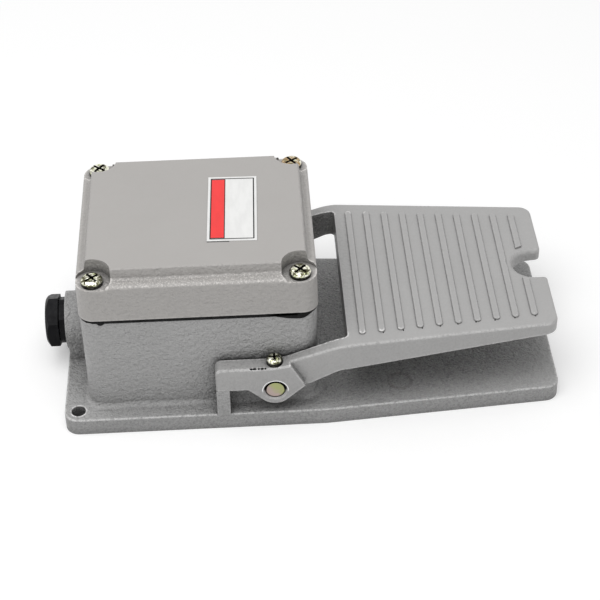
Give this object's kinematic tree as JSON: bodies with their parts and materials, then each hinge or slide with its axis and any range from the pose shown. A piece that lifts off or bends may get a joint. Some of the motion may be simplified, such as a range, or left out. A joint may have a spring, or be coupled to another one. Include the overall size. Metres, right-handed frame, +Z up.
{
  "type": "industrial foot switch",
  "caption": "Cast foot switch: a hinged ribbed pedal on a box with a screwed cover, turning a shaft that works a spring-returned contact block.",
  "frame": {"origin": "centre of the base plate's underside, where the floor is", "axes": "+X from the cable gland to the pedal's free end, +Y across the base, away from the side the picture shows, +Z up"},
  "size_m": [0.2499, 0.117, 0.0881],
  "materials": {
    "housing_paint": "fine orange-peel grey enamel over a casting",
    "cover_paint": "smooth grey enamel",
    "pedal_paint": "smooth grey enamel over a casting",
    "gasket_rubber": "matte",
    "zinc_plate": "yellow zinc plate",
    "shaft_steel": "turned, oiled",
    "gland_plastic": "gloss",
    "seal_rubber": "matte",
    "label_foil": "satin, with one plain red bar",
    "bush_bronze": "turned",
    "bracket_steel": "zinc plated sheet",
    "rod_plastic": "moulded",
    "spring_steel": "drawn wire",
    "contact_brass": "stamped",
    "block_plastic": "moulded thermoset",
    "earth_brass": "turned"
  },
  "bodies": {
    "housing": {"base_housing": "housing_paint", "cover": "cover_paint", "cover_gasket": "gasket_rubber", "cover_screws": "zinc_plate", "gland_body": "gland_plastic", "gland_nut": "gland_plastic", "gland_seal": "seal_rubber", "gland_washer": "seal_rubber", "label_plate": "label_foil", "near_shaft_bush": "bush_bronze", "far_shaft_bush": "bush_bronze", "near_shaft_seal": "seal_rubber", "far_shaft_seal": "seal_rubber", "switch_bracket": "bracket_steel", "bracket_screws": "zinc_plate", "contact_housing": "block_plastic", "closed_contacts": "contact_brass", "open_contacts": "contact_brass", "terminal_screws": "zinc_plate", "block_screws": "zinc_plate", "earth_screw": "earth_brass"},
    "pedal": {"pedal": "pedal_paint", "pivot_shaft": "shaft_steel", "clamp_screws": "zinc_plate", "shaft_lever": "bracket_steel", "lever_screw": "zinc_plate"},
    "contact_carrier": {"push_rod": "rod_plastic", "moving_bridge": "contact_brass", "bridge_nut": "contact_brass", "return_spring": "spring_steel"}
  },
  "joints": [
    {"name": "pedal_hinge", "type": "hinge", "parent": "housing", "child": "pedal", "pos_m": [-0.0185, 0, 0.023], "axis": [0, 1, 0], "range_deg": [0, 10], "stiffness_Nm_per_rad": 6, "springref_deg": -17.19},
    {"name": "rod_slide", "type": "slide", "parent": "housing", "child": "contact_carrier", "axis": [0, 0, 1], "range_m": [0, 0.0035], "deforming": ["return_spring"]}
  ],
  "couplings": [
    {"joint": "rod_slide", "follows": "pedal_hinge", "m_per_rad": 0.02}
  ]
}
